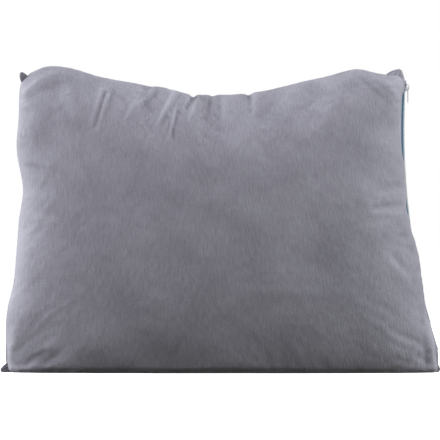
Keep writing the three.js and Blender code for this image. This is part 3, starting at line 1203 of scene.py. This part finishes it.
class PILLOW_OT_filling(bpy.types.Operator):
    """Inner bag of cotton and the shredded foam in it"""

    bl_idname = "pillow.filling"
    bl_label = "Filling"

    bag_thickness = 0.4 * MM
    # Crumbs on a square metre of the foam's surface, and the seeds of their places and shape
    crumb_density = 4200.0
    scatter_seed, crumb_seed = 3, 11

    def execute(self, context):
        settings = context.scene.pillow_filling
        cover = context.scene.pillow_cover
        panels = [self.panel_points(f"cover_{side}_panel") for side in ("front", "back")]
        cotton = plain_cotton(settings.bag)
        for label, points, flip in zip(("front", "back"), panels, (False, True)):
            bag = self.make_bag(f"inner_bag_{label}", points, flip, settings.bag_inset, cover)
            give(bag, cotton, "cushion")
            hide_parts(f"liner_{label}")
        crumb = pebble("crumb", [settings.crumb / 2] * 3, np.random.default_rng(self.crumb_seed))
        foam = run_tree(self.foam_core(panels, settings.foam_inset), scatter_tree(),
                        "shredded_foam", crumb, foam_crumb(settings.foam),
                        Density=self.crumb_density, Seed=self.scatter_seed)
        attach(foam, "cushion")
        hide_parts("foam_fill")
        return {"FINISHED"}

    def panel_points(self, name):
        """The grid of points that a cover panel was made from, without its hem."""
        panel = bpy.data.objects[name]
        return mesh_points(panel.data).reshape(panel["rows"], -1, 3)[:, :panel["columns"]]

    def inset(self, points, depth, passes):
        """The cover's surface, coarser, softened and drawn in by depth on every side."""
        soft = smooth_grid(points[::4, ::4], passes)
        middle = np.array([0, 0, HEIGHT / 2])
        half = np.array([HALF_WIDTH, DEPTH / 2, HEIGHT / 2])
        return middle + (soft - middle) * (1 - depth / half)

    def make_bag(self, name, points, flip, depth, cover):
        """One half of the inner bag, its edges in the plane where the halves are sewn."""
        inner = self.inset(points, depth, passes=3)
        inner[:, [0, -1], 1] = inner[[0, -1], :, 1] = 0
        bag = grid_object(name, inner, flip)
        u = np.linspace(0, cover.cut_width, inner.shape[1])
        v = np.linspace(0, cover.cut_height, inner.shape[0])
        uv_from_grid(bag, *np.meshgrid(u, v))
        thicken(bag, self.bag_thickness)
        return bag

    def foam_core(self, panels, depth):
        """A closed body inside both halves of the bag, for the crumbs to sit on."""
        front, back = (self.inset(points, depth, passes=6)[::2, ::2] for points in panels)
        ids = grid_ids(*front.shape[:2])
        faces = quads(ids, False).tolist() + quads(ids + ids.size, True).tolist()
        rim = np.concatenate([ids[0, :-1], ids[:-1, -1], ids[-1, :0:-1], ids[:0:-1, 0]])
        after = np.roll(rim, -1)
        faces += np.stack([rim, rim + ids.size, after + ids.size, after], -1).tolist()
        core = mesh_object("foam_core", np.concatenate([front, back]).reshape(-1, 3), faces)
        outward_faces(core)
        return core


class PILLOW_OT_zip_chain(bpy.types.Operator):
    """Zip tapes, their rows of teeth and the stops"""

    bl_idname = "pillow.zip_chain"
    bl_label = "Zip chain"

    tape_thickness = 0.5 * MM
    # The nylon's half thickness, and how many points go round one turn and round the nylon
    wire = 0.33 * MM
    turn_steps, wire_sides = 12, 5

    def execute(self, context):
        settings = context.scene.pillow_zip
        tape_cloth = woven_tape("polyester_twill_tape", settings.tape)
        nylon = nylon_coil(settings.coil)
        metal = plated_zinc(settings.metal)
        tree = path_tree()
        for label, side in (("front", -1), ("back", 1)):
            tape = self.make_tape(f"tape_{label}", side)
            give(tape, tape_cloth, "cushion")
            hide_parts(f"zip_tape_{label}")
            coil = run_tree(self.tooth_line(side, settings.pitch), tree, f"coil_{label}",
                            self.make_tooth(side, settings.pitch), nylon,
                            Spacing=settings.pitch)
            give(coil, nylon, "cushion")
            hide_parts(f"zip_coil_{label}")
        for node in ("zip_top_stop_front", "zip_top_stop_back", "zip_bottom_stop"):
            stop = self.make_stop(node)
            give(stop, metal, "cushion")
            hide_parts(node)
        return {"FINISHED"}

    def make_tape(self, name, side):
        """A tape that lies flat beside the teeth and folds back under the panel's hem."""
        thick = self.tape_thickness

        def section(z):
            back = hem_retreat(z, side > 0)
            line = [
                (TAPE_OUTER, 0.4), (TAPE_OUTER, 4.0), (TAPE_OUTER - 0.4 * MM, 4.5),
                (-back - 1.7 * MM, 6.4), (-back - 4.2 * MM, 8.6),
            ]
            under = [(out - thick, y - 0.25) for out, y in line[:0:-1]]
            under.append((TAPE_OUTER - thick, 0.4))
            return [(out, side * y * MM) for out, y in line + under]

        return swept_strip(name, section, TAPE_LOW.z, TAPE_HIGH.z, steps=150)

    def tooth_line(self, side, pitch):
        """The path of one row of teeth, set half a pitch off the other row."""
        low = COIL_LOW.z + (0.5 * pitch if side > 0 else 0)
        middle = (COIL_OUT[0] + COIL_OUT[1]) / 2
        return poly_path(zip_path(low, COIL_HIGH.z, middle, side * CHAIN_SPLIT * 0.2))

    def make_tooth(self, side, pitch):
        """One turn of the coil: a flattened loop of monofilament with a bulging head."""
        reach = CHAIN_SPLIT + COIL_WIDTH
        half = (COIL_OUT[1] - COIL_OUT[0]) / 2 - self.wire
        points = []
        for i in range(self.turn_steps):
            angle = 2 * math.pi * i / self.turn_steps
            y = side * (reach / 2 - math.cos(angle) * (reach / 2 - self.wire * 0.6))
            centre = Vector((math.sin(angle) * half, y, 0))
            bulge = self.wire * (1.35 if math.cos(angle) > 0.8 else 1)
            radial = Vector((math.sin(angle), -side * math.cos(angle), 0))
            for k in range(self.wire_sides):
                spin = 2 * math.pi * k / self.wire_sides
                lift = Vector((0, 0, math.sin(spin) * min(bulge, pitch * 0.42)))
                points.append(centre + radial * math.cos(spin) * self.wire + lift)
        ids = np.pad(grid_ids(self.turn_steps, self.wire_sides), (0, 1), "wrap")
        tooth = mesh_object("tooth", points, quads(ids, False))
        outward_faces(tooth)
        return tooth

    def make_stop(self, node):
        """A folded metal clip: the CAD stop, merged and with rounded edges."""
        stop = link_object(node + "_clip", frame["nodes"][node].data.copy())
        outward_faces(stop)
        finish_edges(stop, 0.25 * MM)
        return stop


class PILLOW_OT_slider(bpy.types.Operator):
    """Zip slider with its plates, web, flanges and bridge, and the pull tab"""

    bl_idname = "pillow.slider"
    bl_label = "Slider and pull"

    half_length = 5.5 * MM
    # Where each part begins and ends, outwards from the zip
    upper_plate = (1.0 * MM, 2.1 * MM)
    lower_plate = (-2.9 * MM, -1.7 * MM)
    web = (-1.8 * MM, 1.1 * MM)
    flanges = (-0.5 * MM, 1.1 * MM)

    def execute(self, context):
        metal = plated_zinc(context.scene.pillow_zip.metal)
        slider = self.make_slider()
        give(slider, metal, "slider")
        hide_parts("zip_slider")
        pull = self.make_pull()
        give(pull, metal, "pull")
        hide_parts("zip_pull")
        return {"FINISHED"}

    def place(self):
        """The slider's own axes: x outwards, z up the zip."""
        point, out, up = zip_frame((SLIDER_LOW.z + SLIDER_HIGH.z) / 2)
        axes = Matrix((out, Vector((0, 1, 0)), up)).transposed().to_4x4()
        return Matrix.Translation(point) @ axes

    def make_slider(self):
        """Two plates joined by a web between the tapes, with flanges that guide the teeth."""
        work = bmesh.new()
        shield = self.shield(wide=3.9 * MM, narrow=2.9 * MM)
        prism(work, shield, *self.upper_plate, PLATE_TURN)
        prism(work, shield, *self.lower_plate, PLATE_TURN)
        web = rounded_outline(0.3 * MM, -self.half_length * 0.2, self.half_length * 0.9,
                              radius_low=0.2 * MM, radius_high=0.2 * MM)
        prism(work, web, *self.web, PLATE_TURN)
        for side in (-1, 1):
            corners = ((3.2, -4.6), (3.9, -4.6), (3.9, 2.2), (3.2, 2.2))
            flange = [(side * y * MM, z * MM) for y, z in corners]
            prism(work, flange, *self.flanges, PLATE_TURN)
        prism(work, self.bridge(), -1.2 * MM, 1.2 * MM, BRIDGE_TURN)
        slider = bmesh_piece("slider_body", work, self.place())
        finish_edges(slider, 0.22 * MM)
        return slider

    def shield(self, wide, narrow):
        """Outline of a slider plate in (y, z): wide shoulders above, narrow mouth below."""
        half = self.half_length
        points = [
            (narrow, -half), (wide, -half * 0.35), (wide, half * 0.45),
            (wide * 0.72, half * 0.86), (wide * 0.3, half),
        ]
        return points + [(-y, z) for y, z in reversed(points)]

    def bridge(self):
        """Outline in (x, z) of an arch over the pull's bar, running along the slider."""
        reach, thick, foot = 3.8 * MM, 1.0 * MM, 2.0 * MM
        top = SLIDER_HIGH.x - zip_frame(SLIDER_HIGH.z)[0].x
        outer = [(foot, -reach), (top * 0.8, -reach), (top, -reach * 0.6),
                 (top, reach * 0.6), (top * 0.8, reach), (foot, reach)]
        inner = [(foot, reach - thick), (top - thick, reach - thick),
                 (top - thick, -reach + thick), (foot, -reach + thick)]
        return outer + inner

    def make_pull(self):
        """A flat tab with an eye round the bridge, hanging from its hinge."""
        low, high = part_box("zip_pull")
        pivot = Vector(PULL_JOINT["pos_m"])
        tab = rounded_outline((high.y - low.y) / 2, low.z - pivot.z, high.z - pivot.z,
                              radius_low=2.2 * MM, radius_high=0.6 * MM)
        eye = rounded_outline(1.5 * MM, -5.0 * MM, -0.65 * MM,
                              radius_low=0.8 * MM, radius_high=0.4 * MM)
        work = bmesh.new()
        self.ring_plate(work, tab, eye, (high.x - low.x) / 2)
        pull = bmesh_piece("pull_tab", work, Matrix.Translation(pivot))
        finish_edges(pull, 0.25 * MM)
        return pull

    def ring_plate(self, work, outer, eye, half_thick):
        """A plate with one opening, both outlines having the same number of points."""
        low, high, eye_low, eye_high = (
            [work.verts.new((level, y, z)) for y, z in outline]
            for outline in (outer, eye) for level in (-half_thick, half_thick)
        )
        for i in range(len(outer)):
            j = (i + 1) % len(outer)
            work.faces.new([low[i], low[j], high[j], high[i]])
            work.faces.new([eye_low[j], eye_low[i], eye_high[i], eye_high[j]])
            work.faces.new([low[j], low[i], eye_low[i], eye_low[j]])
            work.faces.new([high[i], high[j], eye_high[j], eye_high[i]])


class PILLOW_PT_panel(bpy.types.Panel):
    """Lists the pillow's settings and the steps that build it"""

    bl_label = "Camp Pillow"
    bl_idname = "PILLOW_PT_panel"
    bl_space_type = "VIEW_3D"
    bl_region_type = "UI"
    bl_category = "Camp Pillow"

    def draw(self, context):
        for group in GROUPS:
            settings = getattr(context.scene, group)
            for name in settings.__annotations__:
                self.layout.prop(settings, name)
        for operator in OPERATORS:
            self.layout.operator(operator.bl_idname)


GROUPS = {
    "pillow_cover": CoverSettings,
    "pillow_zip": ZipSettings,
    "pillow_filling": FillingSettings,
}
OPERATORS = (
    PILLOW_OT_stage,
    PILLOW_OT_cover,
    PILLOW_OT_ears,
    PILLOW_OT_filling,
    PILLOW_OT_zip_chain,
    PILLOW_OT_slider,
)


def register():
    for cls in (*GROUPS.values(), *OPERATORS, PILLOW_PT_panel):
        bpy.utils.register_class(cls)
    for name, group in GROUPS.items():
        setattr(bpy.types.Scene, name, PointerProperty(type=group))


def unregister():
    for name in GROUPS:
        delattr(bpy.types.Scene, name)
    for cls in reversed((*GROUPS.values(), *OPERATORS, PILLOW_PT_panel)):
        bpy.utils.unregister_class(cls)


def main():
    register()
    bpy.ops.pillow.stage()
    bpy.ops.pillow.cover()
    bpy.ops.pillow.ears()
    bpy.ops.pillow.filling()
    bpy.ops.pillow.zip_chain()
    bpy.ops.pillow.slider()


if __name__ == "__main__":
    main()
